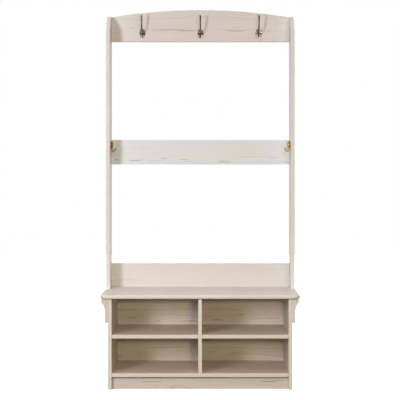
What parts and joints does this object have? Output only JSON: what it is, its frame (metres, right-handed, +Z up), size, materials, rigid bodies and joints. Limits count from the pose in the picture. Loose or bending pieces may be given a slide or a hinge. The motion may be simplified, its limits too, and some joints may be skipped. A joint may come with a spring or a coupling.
{
  "type": "hall tree with hooks",
  "caption": "Whitewashed hall tree: an open cubby bench with a seat, and a tall frame of uprights and rails with an arched top rail that carries coat hooks.",
  "frame": {"origin": "on the floor, in the middle of the width and of the depth", "axes": "+Z up, +X to the right as seen from the front, +Y to the back; the front faces -Y"},
  "size_m": [0.938, 0.4, 1.829],
  "materials": {
    "whitewashed_laminate": "antique white wood-grain laminate, satin, with thin brown cracks in the print",
    "printed_hardboard": "thin hardboard printed with the same whitewashed grain",
    "dark_nickel": "dark polished nickel",
    "polished_brass": "polished brass",
    "zinc_hardware": "bright zinc plate",
    "beech_dowel": "plain fluted beech"
  },
  "bodies": {
    "root": {"seat_top": "whitewashed_laminate", "side_panel_left": "whitewashed_laminate", "side_panel_right": "whitewashed_laminate", "seat_bracket_left": "whitewashed_laminate", "seat_bracket_right": "whitewashed_laminate", "shelf_left": "whitewashed_laminate", "shelf_right": "whitewashed_laminate", "bottom_panel": "whitewashed_laminate", "center_divider": "whitewashed_laminate", "plinth_front": "whitewashed_laminate", "plinth_rear": "whitewashed_laminate", "upright_left": "whitewashed_laminate", "upright_right": "whitewashed_laminate", "top_rail": "whitewashed_laminate", "middle_rail": "whitewashed_laminate", "lower_rail": "whitewashed_laminate", "back_panel": "printed_hardboard", "coat_hook_left": "dark_nickel", "coat_hook_center": "dark_nickel", "coat_hook_right": "dark_nickel", "coat_hook_screws": "dark_nickel", "side_hook_left": "polished_brass", "side_hook_right": "polished_brass", "side_hook_screws": "polished_brass", "bench_cam_bolts": "zinc_hardware", "bench_cam_locks": "zinc_hardware", "rail_cam_bolts": "zinc_hardware", "rail_cam_locks": "zinc_hardware", "shelf_pins": "zinc_hardware", "divider_screws": "zinc_hardware", "back_panel_nails": "zinc_hardware", "upright_screws": "zinc_hardware", "lower_rail_screws": "zinc_hardware", "bench_dowels": "beech_dowel", "bracket_dowels": "beech_dowel", "rail_dowels": "beech_dowel", "upright_dowels": "beech_dowel"}
  },
  "joints": []
}
